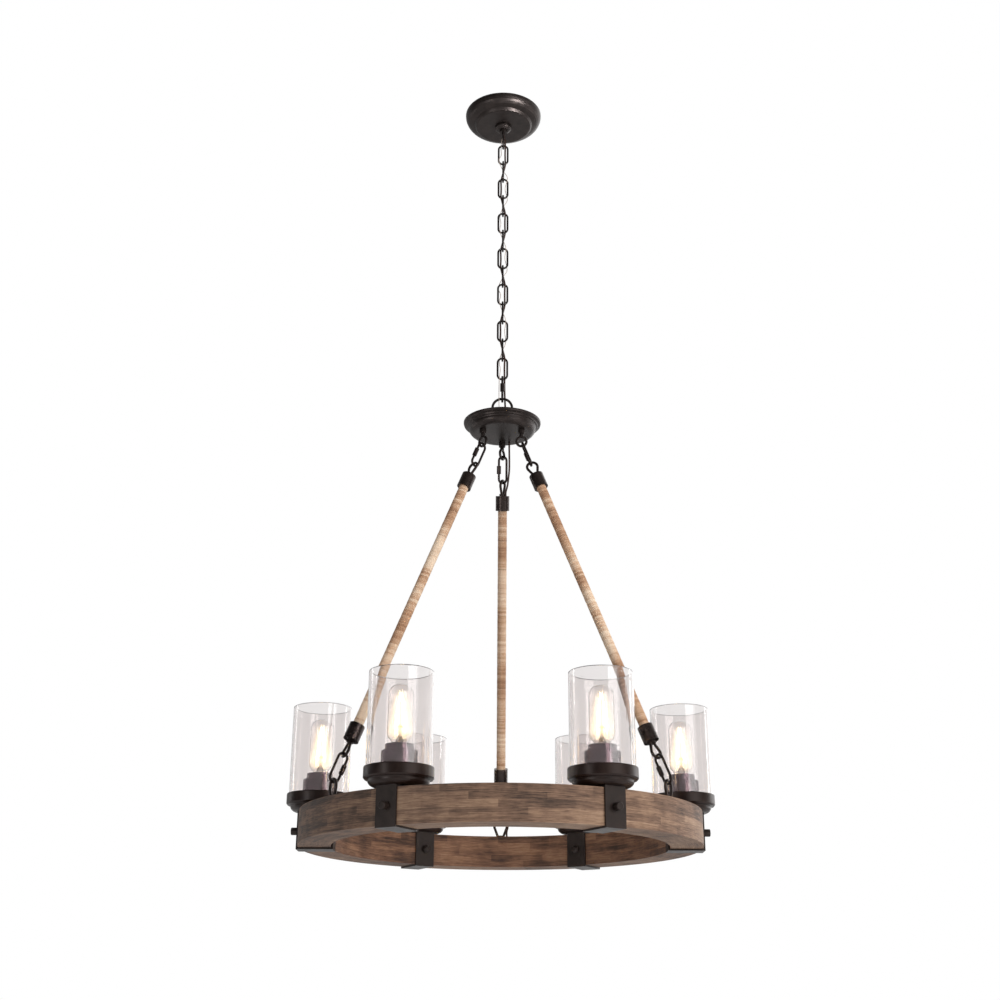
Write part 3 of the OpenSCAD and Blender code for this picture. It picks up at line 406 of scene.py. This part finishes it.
def jute():
    """Dry tan fibre: each turn has a shade of its own and a few are much darker.

    Bands of two or three turns, a drift over about 80 mm and hairs of about 1.5 mm add to it.
    """
    made, tree, output = material("jute_twine")
    turn = add(tree, "ShaderNodeAttribute", {"attribute_name": "turn"}).outputs["Fac"]
    own = add(tree, "ShaderNodeTexWhiteNoise", {"noise_dimensions": "1D"}, W=turn)
    place = add(tree, "ShaderNodeTexCoord").outputs["Object"]
    hair = add(tree, "ShaderNodeTexNoise", Vector=place, Scale=700.0, Detail=4.0, Roughness=0.7)
    drift = add(tree, "ShaderNodeTexNoise", Vector=place, Scale=12.0, Detail=1.0)
    few = add(tree, "ShaderNodeMath", {"operation": "MULTIPLY"}, s0=turn, s1=0.37)
    step = add(tree, "ShaderNodeMath", {"operation": "FLOOR"}, s0=few.outputs[0])
    band = add(tree, "ShaderNodeTexWhiteNoise", {"noise_dimensions": "1D"}, W=step.outputs[0])
    toned = add(tree, "ShaderNodeMath", {"operation": "MULTIPLY_ADD"}, s0=band.outputs["Value"],
                s1=0.18, s2=drift.outputs["Fac"])
    mixed = add(tree, "ShaderNodeMath", {"operation": "MULTIPLY_ADD"}, s0=own.outputs["Value"],
                s1=0.2, s2=toned.outputs[0])
    fibre = add(tree, "ShaderNodeMath", {"operation": "MULTIPLY_ADD"}, s0=hair.outputs["Fac"],
                s1=0.9, s2=mixed.outputs[0])
    scaled = add(tree, "ShaderNodeMath", {"operation": "MULTIPLY"}, s0=fibre.outputs[0], s1=0.7)
    colour = ramp(tree, scaled.outputs[0],
                  [(0.52, "754f37"), (0.64, "ab8062"), (0.79, "d0aa8a"), (0.93, "f0d9c0")])
    dark = add(tree, "ShaderNodeMath", {"operation": "GREATER_THAN"}, s0=own.outputs["Value"], s1=0.985)
    shade = add(tree, "ShaderNodeMix", {"data_type": "RGBA"}, s0=dark.outputs[0], s6=colour,
                s7=srgb("8a6850"))
    bump = add(tree, "ShaderNodeBump", Height=hair.outputs["Fac"], Strength=0.4, Distance=0.0004)
    shader = add(tree, "ShaderNodeBsdfPrincipled", Base_Color=shade.outputs[2], Roughness=0.9,
                 Normal=bump.outputs["Normal"])
    tree.links.new(shader.outputs["BSDF"], output.inputs["Surface"])
    return made


twine = jute()
TWINE_TURNS = 320
for k in range(3):
    wrap = wound(f"twine_wrap_{k + 1}", k, TWINE_TURNS)
    wrap.data.materials.append(twine)
    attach(wrap, f"hanger_{k + 1}")
    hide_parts(f"rope_wrap_{k + 1}")

rod_paint = paint("rod_fitting_paint", "2b2321", "473c38", 0.29, peel=0.1, metallic=0.7)
dress([f"rod_{k}" for k in (1, 2, 3)], rod_paint)
dress([f"rod_links_{k}" for k in (1, 2, 3)] + ["ring_eyes"], rod_paint)


def on_rod(k, point):
    """A point given in rod k's own frame, in millimetres, as a point in the part's frame."""
    matrix, top, _ = rod_frame(k)
    return (matrix @ (np.array(point) / 1000) + top).tolist()


def behind(point):
    """A point given in the back rod's azimuth frame, in millimetres."""
    return (turned("z", 180) @ (np.array(point) / 1000)).tolist()


# the ferrules' lead holes are 9 mm off the rod's axis, at 45 degrees
hole = 9 * math.cos(math.radians(45))
upper_z, top_z = upper_eye * 1000, ferrule_top * 1000
lower_z, end_z = lower_eye * 1000, ferrule_end * 1000
drop_lead = (
    [behind([-14, -40, -734.85]), behind([-14, -40, -748.85])]
    + [on_rod(2, p) for p in ([-13, 8, upper_z + 36], [-11.5, 8.5, upper_z + 16], [-9.5, 8.5, upper_z],
                              [-hole, hole, top_z + 8], [-hole, hole, top_z], [-hole, hole, top_z - 6])]
)
rise_lead = (
    [on_rod(2, p) for p in ([-hole, -hole, end_z + 6], [-hole, -hole, end_z], [-hole, -hole, end_z - 8],
                            [-9, -9, lower_z + 2], [-9, -6, lower_z - 16])]
    + [behind(p) for p in ([-14, -304, -1446.85], [-12, -302, -1460.85], [-12, -301.8, -1470.85],
                           [-12, -301.8, -1480])]
)
upper_path = smooth(drop_lead, 4)
at_eye = int(np.nonzero(upper_path[:, 2] > HUB_EYE_Z)[0][-1])
for name, path, body in (("rod_lead_from_hub", upper_path[: at_eye + 2], "hub"),
                         ("rod_lead_upper", upper_path[at_eye:], "hanger_3"),
                         ("rod_lead_lower", smooth(rise_lead, 4), "hanger_3")):
    made = tube(name, path, LEAD_R)
    made.data.materials.append(brown)
    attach(made, body)

# ---- Wooden ring ------------------------------------------------------------------------------
# Six curved felloes glued up from short strips of softwood, stained a weathered grey-brown. The
# grain runs round the ring; the strips differ in tone. The inner face is tinted redder.


def weathered_wood():
    """Grain in round-the-ring coordinates: angle times the ring's radius along, z up, r across.

    Each sixth of the ring has its own offset, so no grain runs on from one felloe to the next.
    The felloes are glued from strips, each with a tone of its own. The grain is stretched 17 times
    along the ring: fibres of about 1.6 mm and growth rings of about 7 mm across it.
    """
    ring_r, strip_h, strip_l = 0.35, 0.0115, 0.12
    made, tree, output = material("weathered_wood")
    place = add(tree, "ShaderNodeTexCoord").outputs["Object"]
    xyz = add(tree, "ShaderNodeSeparateXYZ", s0=place).outputs

    def maths(operation, *values):
        return add(tree, "ShaderNodeMath", {"operation": operation},
                   **{f"s{i}": v for i, v in enumerate(values)}).outputs[0]

    def noise(vector, scale, detail=4.0, roughness=0.55, distortion=0.0):
        return add(tree, "ShaderNodeTexNoise", Vector=vector, Scale=scale, Detail=detail,
                   Roughness=roughness, Distortion=distortion).outputs["Fac"]

    angle = maths("ARCTAN2", xyz["Y"], xyz["X"])
    along = maths("MULTIPLY", angle, ring_r)
    square = maths("MULTIPLY_ADD", xyz["X"], xyz["X"], maths("MULTIPLY", xyz["Y"], xyz["Y"]))
    across = maths("POWER", square, 0.5)
    felloe = maths("FLOOR", maths("DIVIDE", angle, math.pi / 3))
    # each row of strips is shifted along; each felloe is painted lighter on the right of the ring and darker
    # on the left, painted light and shade
    row = maths("FLOOR", maths("DIVIDE", xyz["Z"], strip_h))
    shift = maths("MULTIPLY", maths("FRACT", maths("MULTIPLY", row, 0.377)), strip_l)
    strip = maths("FLOOR", maths("DIVIDE", maths("ADD", along, shift), strip_l))
    cell = add(tree, "ShaderNodeCombineXYZ", s0=strip, s1=row, s2=felloe)
    random = add(tree, "ShaderNodeTexWhiteNoise", {"noise_dimensions": "3D"}, s0=cell.outputs[0])
    tone = random.outputs["Value"]
    stretched = add(tree, "ShaderNodeCombineXYZ", s0=maths("MULTIPLY", along, 0.06), s1=xyz["Z"],
                    s2=across)
    own = add(tree, "ShaderNodeCombineXYZ", s0=maths("MULTIPLY", felloe, 3.1),
              s1=maths("MULTIPLY", felloe, 1.7), s2=0.0)
    grain_at = add(tree, "ShaderNodeVectorMath", {"operation": "ADD"}, s0=stretched.outputs[0],
                   s1=own.outputs[0])
    grain = noise(grain_at.outputs[0], 620.0, 5.0, 0.7, 0.3)
    rings = noise(grain_at.outputs[0], 150.0, 3.0, 0.5, 0.8)
    broad = noise(place, 16.0, 4.0, 0.6)
    # painted light and shade: felloes towards +X (the right) lighter, towards -X darker, as if lit from the
    # right
    painted_side_light = maths("COSINE", maths("MULTIPLY", maths("ADD", felloe, 0.5), math.pi / 3))
    mix = maths("MULTIPLY", broad, 0.34)
    for layer, weight in ((painted_side_light, 0.035), (tone, 0.12), (rings, 0.24), (grain, 0.46)):
        mix = maths("MULTIPLY_ADD", layer, weight, mix)
    colour = ramp(tree, mix, [(0.42, "36271f"), (0.50, "543f31"), (0.58, "785b48"),
                              (0.67, "97785f"), (0.80, "b59780")])
    # the inner face, inside a radius of about 294 mm, is tinted redder
    inside = add(tree, "ShaderNodeMapRange", s0=across, s1=0.2945, s2=0.2935, s3=0.0, s4=1.0).outputs[0]
    warm = add(tree, "ShaderNodeMix", {"data_type": "RGBA", "blend_type": "MULTIPLY"},
               s0=maths("MULTIPLY", inside, 0.6), s6=colour, s7=srgb("f0cdb2"))
    bump = add(tree, "ShaderNodeBump", Height=maths("ADD", grain, maths("MULTIPLY", tone, 0.3)),
               Strength=0.35, Distance=0.0008)
    shader = add(tree, "ShaderNodeBsdfPrincipled", Base_Color=warm.outputs[2],
                 Roughness=add(tree, "ShaderNodeMapRange", s0=grain, s3=0.75, s4=0.55).outputs[0],
                 Normal=bump.outputs["Normal"])
    tree.links.new(shader.outputs["BSDF"], output.inputs["Surface"])
    return made


dress(["wheel_felloes"], weathered_wood())
dress(["wheel_wiring"], brown)

# ---- Straps and bolts -------------------------------------------------------------------------
# Flat bar bent round the ring at each joint, with a through bolt: a round head outside and a
# domed nut inside. Painted the same brown-black, a little flatter.

strap_paint = paint("strap_paint", "271e1a", "362a25", 0.42, peel=0.2)
dress(["straps", "strap_bolts", "cap_nuts"], strap_paint)

# ---- Lamp pans, sockets and clamping rings ----------------------------------------------------
# Spun pans carry the glasses. The socket shells and their screw rings have a cooler, smoother
# paint that shows upright soft lights.

pan_paint = paint("pan_paint", "20120e", "302019", 0.36, peel=0.1)
socket_paint = paint("socket_paint", "443739", "5e5157", 0.2, peel=0.05, metallic=1.0)
dress(["pans"], pan_paint)
dress(["sockets"] + [f"shade_ring_{n}" for n in range(1, 7)], socket_paint)

# ---- Glass cylinders --------------------------------------------------------------------------
# Machine-blown soda-lime glass, open above, with a few seed bubbles and a faint pink-grey cast.


def seeded_glass():
    """Clear glass whose surface swells over scattered seeds about 1 mm across.

    The seeds lie about 10 mm apart, and the surface also waves very slightly over about 70 mm.
    """
    made, tree, output = material("seeded_glass")
    place = add(tree, "ShaderNodeTexCoord").outputs["Object"]
    seeds = add(tree, "ShaderNodeTexVoronoi", Vector=place, Scale=95.0, Randomness=1.0)
    dots = add(tree, "ShaderNodeMapRange", {"interpolation_type": "SMOOTHSTEP"}, s0=seeds.outputs["Distance"],
               s1=0.0, s2=0.11, s3=1.0, s4=0.0)
    waves = add(tree, "ShaderNodeTexNoise", Vector=place, Scale=14.0, Detail=1.0)
    height = add(tree, "ShaderNodeMath", {"operation": "MULTIPLY_ADD"}, s0=waves.outputs["Fac"], s1=0.25,
                 s2=dots.outputs[0])
    bump = add(tree, "ShaderNodeBump", Height=height.outputs[0], Strength=0.35, Distance=0.0008)
    shader = add(tree, "ShaderNodeBsdfPrincipled", Base_Color=srgb("eeeae9"), Roughness=0.0,
                 Transmission_Weight=0.985, Normal=bump.outputs["Normal"])
    tree.links.new(shader.outputs["BSDF"], output.inputs["Surface"])
    return made


dress([f"glass_{n}" for n in range(1, 7)], seeded_glass())

# ---- Bulbs ------------------------------------------------------------------------------------
# Clear tubular bulbs with a rounded top, a flared glass foot and four upright filaments on
# fine wires, all lit warm white. The screw cap is brass, mostly hidden in the socket.

SOCKET_TOP = -1.40065
BULB_R = 0.0205
BULB_H = 0.097


def turned_shape(name, profile, centre, sides=48):
    """A solid of revolution: profile points (radius, height) carried round a vertical axis.

    The first and last points of the profile are joined. A point on the axis is one vertex, and the
    faces that meet it are triangles.
    """
    profile = np.array(profile, float)
    a = (np.arange(sides) * 2 * math.pi / sides)[None]
    r, z = profile[:, :1], profile[:, 1:]
    grid = np.stack([centre[0] + r * np.cos(a), centre[1] + r * np.sin(a), centre[2] + z + 0 * a], axis=2)
    on_axis = profile[:, 0] < 1e-9
    points = np.vstack([ring[:1] if pole else ring for ring, pole in zip(grid, on_axis)])
    sizes = np.where(on_axis, 1, sides)
    index = (np.cumsum(sizes) - sizes)[:, None] + np.where(on_axis[:, None], 0, np.arange(sides)[None])
    following = np.roll(index, -1, axis=0)
    quads = np.stack([index, np.roll(index, -1, axis=1), np.roll(following, -1, axis=1), following],
                     axis=2)
    faces = []
    for ring, pole, next_pole in zip(quads, on_axis, np.roll(on_axis, -1)):
        if not (pole and next_pole):
            faces += (ring[:, [0, 2, 3]] if pole else ring[:, :3] if next_pole else ring).tolist()
    mesh = bpy.data.meshes.new(name)
    mesh.from_pydata(points.tolist(), [], faces)
    mesh.polygons.foreach_set("use_smooth", [True] * len(faces))
    mesh.validate()
    made = bpy.data.objects.new(name, mesh)
    bpy.context.scene.collection.objects.link(made)
    return made


def envelope_profile(inset):
    """Outline of the bulb's glass from the neck to the top, moved in by inset.

    The neck widens to the bulb's radius, and a quarter circle of radius dome closes in the top.
    """
    neck, dome = 0.0115, 0.0165
    points = [(neck - inset, 0.0005), (neck + 0.0008 - inset, 0.003), (0.0155 - inset, 0.0075),
              (0.0192 - inset, 0.012), (BULB_R - inset, 0.018)]
    for a in np.radians(np.arange(0, 91, 7.5)):
        points.append((BULB_R - dome + (dome - inset) * math.cos(a),
                       BULB_H - dome + (dome - inset) * math.sin(a)))
    return points + [(0.0, BULB_H - inset)]


def bulb_glass():
    """Thin clear glass that also shows the filaments' glow: a drop of light, narrow at its top.

    The glow is (how squarely the glass faces the eye) to a power that grows with height.
    """
    made, tree, output = material("bulb_glass")
    place = add(tree, "ShaderNodeTexCoord").outputs["Object"]
    height = add(tree, "ShaderNodeSeparateXYZ", s0=place).outputs["Z"]
    low = add(tree, "ShaderNodeMapRange", {"interpolation_type": "SMOOTHSTEP"}, s0=height,
              s1=SOCKET_TOP + 0.002, s2=SOCKET_TOP + 0.040)
    high = add(tree, "ShaderNodeMapRange", {"interpolation_type": "SMOOTHSTEP"}, s0=height,
               s1=SOCKET_TOP + 0.092, s2=SOCKET_TOP + 0.060)
    narrow = add(tree, "ShaderNodeMapRange", s0=height, s1=SOCKET_TOP + 0.020, s2=SOCKET_TOP + 0.085,
                 s3=2.6, s4=22.0)
    facing = add(tree, "ShaderNodeLayerWeight", Blend=0.5)
    toward = add(tree, "ShaderNodeMath", {"operation": "SUBTRACT"}, s0=1.0, s1=facing.outputs["Facing"])
    sharp = add(tree, "ShaderNodeMath", {"operation": "POWER"}, s0=toward.outputs[0], s1=narrow.outputs[0])
    span = add(tree, "ShaderNodeMath", {"operation": "MULTIPLY"}, s0=low.outputs[0], s1=high.outputs[0])
    glow = add(tree, "ShaderNodeMath", {"operation": "MULTIPLY"}, s0=span.outputs[0], s1=sharp.outputs[0])
    strength = add(tree, "ShaderNodeMath", {"operation": "MULTIPLY"}, s0=glow.outputs[0], s1=0.7)
    light = add(tree, "ShaderNodeEmission", Color=srgb("ffdd98"), Strength=strength.outputs[0])
    glass = add(tree, "ShaderNodeBsdfPrincipled", Base_Color=srgb("fdfbfa"), Roughness=0.0,
                Transmission_Weight=1.0)
    both = add(tree, "ShaderNodeAddShader", s0=glass.outputs[0], s1=light.outputs[0])
    tree.links.new(both.outputs[0], output.inputs["Surface"])
    return made


def lit_filament():
    """White-hot thread."""
    made, tree, output = material("lit_filament")
    light = add(tree, "ShaderNodeEmission", Color=srgb("ffe2a8"), Strength=14.0)
    tree.links.new(light.outputs[0], output.inputs["Surface"])
    return made


LAMPS_R = 0.320
BULB_WALL = 0.0008
FOOT = [(0, 0.0006), (0.0085, 0.0006), (0.0075, 0.004), (0.005, 0.010), (0.0028, 0.015),
        (0.0022, 0.024), (0.0026, 0.031), (0, 0.0315)]
FILAMENT_R, ARM_R, MAST_R = 0.0007, 0.0003, 0.0004
clear = bulb_glass()
filament = lit_filament()
foot_glass = seeded_glass()
cap_brass = plain_metal("cap_brass", "b9985a", 0.3)
wire_nickel = plain_metal("support_wire", "8d8078", 0.4)
for n in range(1, 7):
    azimuth = math.radians(-150 + 60 * (n - 1))
    centre = (LAMPS_R * math.sin(azimuth), -LAMPS_R * math.cos(azimuth), SOCKET_TOP)
    body = f"lamp_{n}"
    outline = envelope_profile(0.0) + envelope_profile(BULB_WALL)[::-1]
    envelope = turned_shape(f"bulb_envelope_{n}", outline, centre)
    envelope.data.materials.append(clear)
    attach(envelope, body)
    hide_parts(f"bulb_{n}")
    foot = turned_shape(f"bulb_foot_{n}", FOOT, centre, 24)
    foot.data.materials.append(foot_glass)
    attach(foot, body)
    # three rounded thread ridges: the radius follows a cosine, 1 mm from root to crest
    thread = [(0.0112 + 0.0010 * (1 - math.cos(2 * math.pi * s / 8)) / 2, -0.018 + 0.0022 * s / 3)
              for s in range(25)]
    shell = [(0, -0.025), (0.005, -0.025), (0.005, -0.0235), (0.009, -0.022), (0.0112, -0.0205)]
    cap = turned_shape(f"bulb_cap_{n}", shell + thread + [(0.0105, 0.0002), (0, 0.0002)], centre, 32)
    cap.data.materials.append(cap_brass)
    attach(cap, body)
    for side_of_bulb in range(4):
        a = math.radians(45 + 90 * side_of_bulb)
        out = np.array([math.cos(a), math.sin(a), 0.0])
        root, foot_point, tip = (np.array(centre) + r * out + [0, 0, z]
                                 for r, z in ((0.0015, 0.0295), (0.0100, 0.0265), (0.0022, 0.0840)))
        strand = tube(f"bulb_filament_{n}_{side_of_bulb + 1}", np.linspace(foot_point, tip, 12),
                      FILAMENT_R, 8)
        strand.data.materials.append(filament)
        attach(strand, body)
        arm = tube(f"bulb_wire_{n}_{side_of_bulb + 1}", np.linspace(root, foot_point, 4), ARM_R, 6)
        arm.data.materials.append(wire_nickel)
        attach(arm, body)
    low, high = (np.array(centre) + [0, 0, z] for z in (0.031, 0.0845))
    mast = tube(f"bulb_mast_{n}", np.linspace(low, high, 6), MAST_R, 6)
    mast.data.materials.append(wire_nickel)
    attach(mast, body)

# ---- Room -------------------------------------------------------------------------------------
# A white studio with a pale floor well below. A big soft key light stands at the viewer's right.
# The other lights only show as sheen: two on the front metals, one narrow beam on the canopy, and
# an upright strip at each side that draws lines down the glass.


def floor():
    """A wide pale floor, a grid of four corners well below the wheel."""
    mesh = bpy.data.meshes.new("floor")
    size, z = 8.0, -2.45
    corners = [(-size, -size, z), (size, -size, z), (size, size, z), (-size, size, z)]
    mesh.from_pydata(corners, [], [(0, 1, 2, 3)])
    made = bpy.data.objects.new("floor", mesh)
    bpy.context.scene.collection.objects.link(made)
    finish, tree, output = material("pale_floor")
    shader = add(tree, "ShaderNodeBsdfPrincipled", Base_Color=srgb("f4f4f4"), Roughness=0.7)
    tree.links.new(shader.outputs["BSDF"], output.inputs["Surface"])
    mesh.materials.append(finish)


def lamp(name, place, aim, size, power, diffuse=True, mirrored=True, spread=180):
    """A rectangular soft light at place, turned to aim, with a beam of spread degrees.

    Without diffuse it only makes sheen, and without mirrored it never shows as a reflection.
    """
    data = bpy.data.lights.new(name, "AREA")
    data.shape = "RECTANGLE"
    data.size, data.size_y = size
    data.energy = power
    data.spread = math.radians(spread)
    made = bpy.data.objects.new(name, data)
    made.location = place
    from_to = np.array(aim, float) - np.array(place, float)
    level = math.hypot(from_to[0], from_to[1])
    made.rotation_euler = (math.atan2(level, -from_to[2]), 0, math.atan2(-from_to[0], from_to[1]))
    made.visible_camera = False
    made.visible_diffuse = diffuse
    made.visible_glossy = mirrored
    bpy.context.scene.collection.objects.link(made)


floor()
lamp("key_light", (2.0, -2.5, -0.6), (0, 0, -1.0), (1.8, 1.8), 50, mirrored=False)
lamp("right_sheen", (2.3, -2.6, -0.9), (0, 0, -1.2), (2.4, 2.4), 24, diffuse=False)
lamp("canopy_sheen", (1.5, -1.65, -1.32), (0, 0, 0.1), (0.9, 0.6), 3.2, diffuse=False, spread=24)
lamp("left_sheen", (-1.7, -1.9, -1.52), (0, 0, -1.4), (0.25, 0.4), 9, diffuse=False)
lamp("left_strip", (-2.2, 0.9, -1.3), (0, 0, -1.4), (0.1, 1.8), 3, diffuse=False)
lamp("right_strip", (2.2, 0.9, -1.3), (0, 0, -1.4), (0.1, 1.8), 4, diffuse=False)

# The room is white where the camera sees it, bare or through glass. As light it is stronger from
# the right, and in reflections it is bright behind the chandelier and dark in front.
world = bpy.data.worlds.new("white_room")
bpy.context.scene.world = world
world.use_nodes = True
sky = world.node_tree
sky.nodes.clear()
rays = add(sky, "ShaderNodeLightPath").outputs
seen = add(sky, "ShaderNodeMath", {"operation": "MAXIMUM"}, s0=rays["Is Camera Ray"],
           s1=rays["Is Transmission Ray"])
way = add(sky, "ShaderNodeTexCoord").outputs["Object"]
heading = add(sky, "ShaderNodeSeparateXYZ", s0=way).outputs
from_right = add(sky, "ShaderNodeMapRange", s0=heading["X"], s1=-1.0, s2=1.0, s3=0.14, s4=1.0)
behind_it = add(sky, "ShaderNodeMapRange", {"interpolation_type": "SMOOTHSTEP"}, s0=heading["Y"],
                s1=-0.2, s2=0.75, s3=0.12, s4=1.0)
brighter_right = add(sky, "ShaderNodeMapRange", {"interpolation_type": "SMOOTHSTEP"},
                     s0=heading["X"], s1=-0.3, s2=0.3, s3=0.45, s4=1.8)
backdrop = add(sky, "ShaderNodeMath", {"operation": "MULTIPLY"}, s0=behind_it.outputs[0],
               s1=brighter_right.outputs[0])
room = add(sky, "ShaderNodeBackground", Color=srgb("ffffff"), Strength=from_right.outputs[0])
mirror = add(sky, "ShaderNodeBackground", Color=srgb("ffffff"), Strength=backdrop.outputs[0])
white = add(sky, "ShaderNodeBackground", Color=srgb("ffffff"), Strength=1.0)
lit = add(sky, "ShaderNodeMixShader", s0=rays["Is Glossy Ray"], s1=room.outputs[0], s2=mirror.outputs[0])
shown = add(sky, "ShaderNodeMixShader", s0=seen.outputs[0], s1=lit.outputs[0], s2=white.outputs[0])
add(sky, "ShaderNodeOutputWorld", s0=shown.outputs[0])

camera_data = bpy.data.cameras.new("camera")
camera_data.sensor_width = 36
camera_data.lens = 48.8
camera_data.shift_x = -0.0019
camera_data.clip_end = 50
camera = bpy.data.objects.new("camera", camera_data)
camera.location = (0, -2.4144, -1.8062)
camera.rotation_mode = "ZYX"
camera.rotation_euler = (math.radians(111), 0, math.radians(0.22))
bpy.context.scene.collection.objects.link(camera)
bpy.context.scene.camera = camera
bpy.context.scene.view_settings.view_transform = "Standard"
